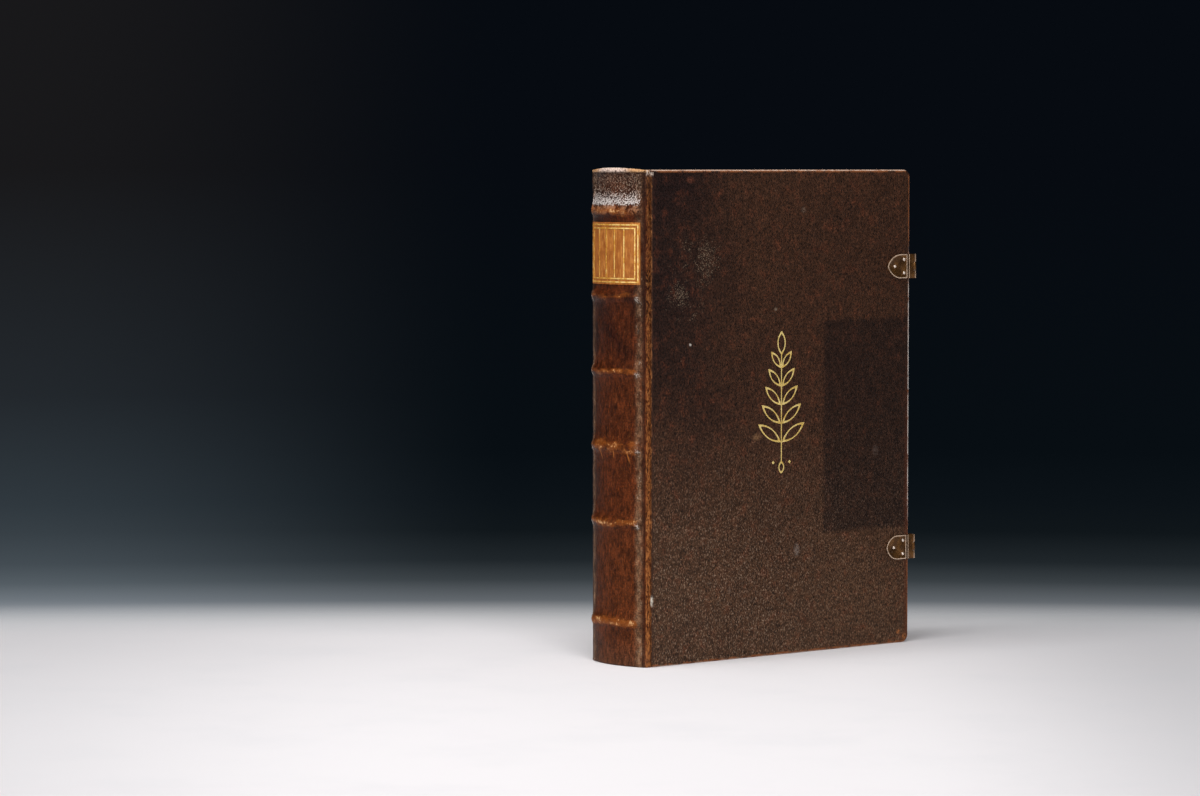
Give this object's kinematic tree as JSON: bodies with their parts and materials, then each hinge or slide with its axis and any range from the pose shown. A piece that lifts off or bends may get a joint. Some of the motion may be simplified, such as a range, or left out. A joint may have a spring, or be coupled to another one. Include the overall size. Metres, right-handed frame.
{
  "type": "antique leather book",
  "caption": "Thick old book bound in dark brown leather over boards, with raised bands, a gilt spine label and hinged brass clasps.",
  "frame": {"origin": "centre of the base of the standing book, clasps included", "axes": "+X from the spine to the fore-edge, -Y out of the front cover, +Z from tail to head"},
  "size_m": [0.2651, 0.0646, 0.3415],
  "materials": {
    "leaves": "aged rag paper, edges browned",
    "linen": "coarse linen glued on",
    "hemp_cord": "twisted hemp",
    "endband_silk": "wound silk, faded",
    "spine_leather": "worn calf, glossy, rubbed to tan on the bands",
    "label_leather": "smooth tan leather",
    "gilding": "gold leaf tooled into leather",
    "pasteboard": "grey-brown pasteboard",
    "cover_leather": "dark brown calf, pored grain, dusty and scuffed",
    "endpaper": "plain laid endpaper",
    "brass": "antique brass, darkened",
    "rivet_brass": "bright rubbed rivet heads"
  },
  "bodies": {
    "book_block": {"text_block": "leaves", "spine_lining": "linen", "band_cord_1": "hemp_cord", "band_cord_2": "hemp_cord", "band_cord_3": "hemp_cord", "band_cord_4": "hemp_cord", "band_cord_5": "hemp_cord", "band_cord_6": "hemp_cord", "head_band": "endband_silk", "tail_band": "endband_silk", "spine_leather": "spine_leather", "spine_label": "label_leather", "label_gilding": "gilding"},
    "front_cover": {"front_board": "pasteboard", "front_leather": "cover_leather", "front_pastedown": "endpaper", "cover_gilding": "gilding", "upper_hinge_plate": "brass", "lower_hinge_plate": "brass", "upper_hinge_rivets": "rivet_brass", "lower_hinge_rivets": "rivet_brass", "upper_hinge_pin": "brass", "lower_hinge_pin": "brass"},
    "back_cover": {"back_board": "pasteboard", "back_leather": "cover_leather", "back_pastedown": "endpaper", "upper_catch_plate": "brass", "lower_catch_plate": "brass", "upper_catch_rivets": "rivet_brass", "lower_catch_rivets": "rivet_brass"},
    "upper_clasp_arm": {"upper_clasp": "brass"},
    "lower_clasp_arm": {"lower_clasp": "brass"}
  },
  "joints": [
    {"name": "front_cover_hinge", "type": "hinge", "parent": "book_block", "child": "front_cover", "pos_m": [-0.11881, -0.03057, 0.17], "axis": [0, 0, -1], "range_deg": [0, 170]},
    {"name": "back_cover_hinge", "type": "hinge", "parent": "book_block", "child": "back_cover", "pos_m": [-0.11881, 0.02943, 0.17], "axis": [0, 0, 1], "range_deg": [0, 170]},
    {"name": "upper_clasp_hinge", "type": "hinge", "parent": "front_cover", "child": "upper_clasp_arm", "pos_m": [0.12559, -0.03037, 0.271], "axis": [0, 0, -1], "range_deg": [-5, 160]},
    {"name": "lower_clasp_hinge", "type": "hinge", "parent": "front_cover", "child": "lower_clasp_arm", "pos_m": [0.12559, -0.03037, 0.069], "axis": [0, 0, -1], "range_deg": [-5, 160]}
  ]
}
